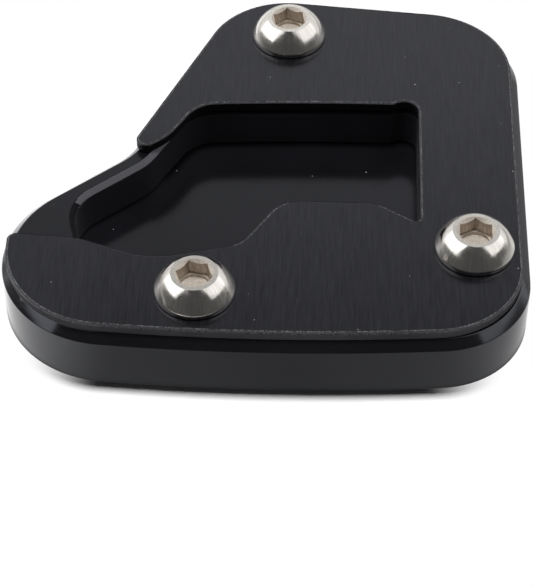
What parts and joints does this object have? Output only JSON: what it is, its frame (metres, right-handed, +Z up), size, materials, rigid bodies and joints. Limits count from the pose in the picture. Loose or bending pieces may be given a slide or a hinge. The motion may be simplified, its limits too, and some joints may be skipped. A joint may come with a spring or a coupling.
{
  "type": "kickstand foot enlarger",
  "caption": "Pocketed black plate that widens a side stand's foot, with a C-shaped clamp plate held by button-head screws.",
  "frame": {"origin": "middle of the sole, on the ground", "axes": "+X along the front edge, +Y towards the rear edge, +Z up out of the pocket"},
  "size_m": [0.0697, 0.0675, 0.0132],
  "materials": {
    "black_anodised": "satin black anodised",
    "black_brushed": "brushed, black anodised",
    "stainless_screw": "polished stainless"
  },
  "bodies": {
    "root": {"base_plate": "black_anodised", "clamp_plate": "black_brushed", "clamp_screws": "stainless_screw"}
  },
  "joints": []
}
